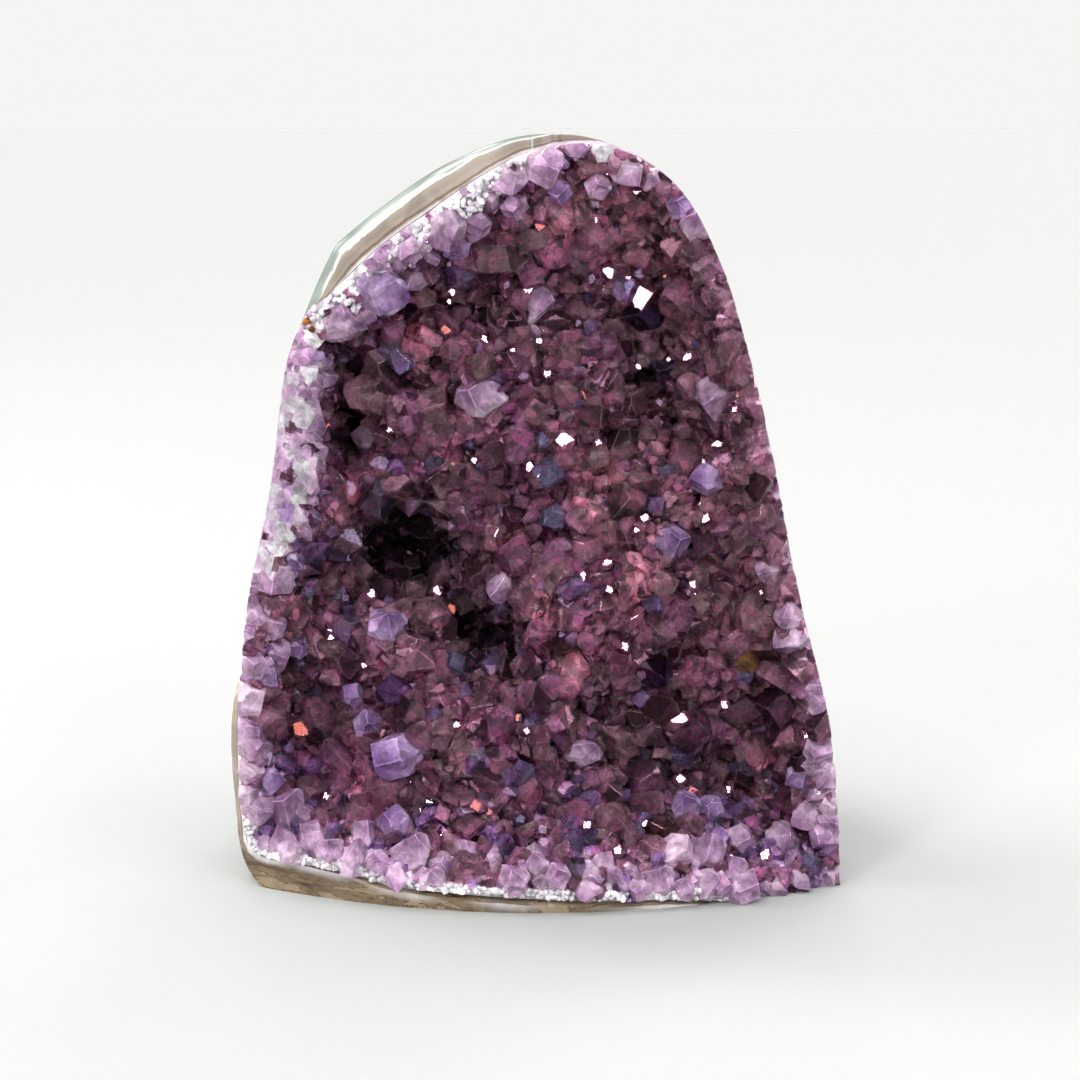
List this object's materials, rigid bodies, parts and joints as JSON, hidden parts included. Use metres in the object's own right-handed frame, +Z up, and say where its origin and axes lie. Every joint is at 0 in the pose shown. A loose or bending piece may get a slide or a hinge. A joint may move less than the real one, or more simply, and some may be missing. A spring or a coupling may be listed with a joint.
{
  "type": "ametrine geode cluster",
  "caption": "Free-standing cut-base section of a quartz geode: violet and smoky brown crystals lining a thin polished agate wall.",
  "frame": {"origin": "centre of the sawn base, on the surface that the cluster stands on", "axes": "+Z up, from the sawn base to the rounded top; -Y is the side with the crystals; +X is to the right when the crystals are looked at"},
  "size_m": [0.1011, 0.0659, 0.122],
  "materials": {
    "agate": "polished banded agate, grey-green to tan, with a rough skin on the back",
    "crystal": "clear to cloudy quartz crystals, violet with brown areas, glassy faces"
  },
  "bodies": {
    "root": {"agate_rind": "agate", "crystal_druse": "crystal"}
  },
  "joints": []
}
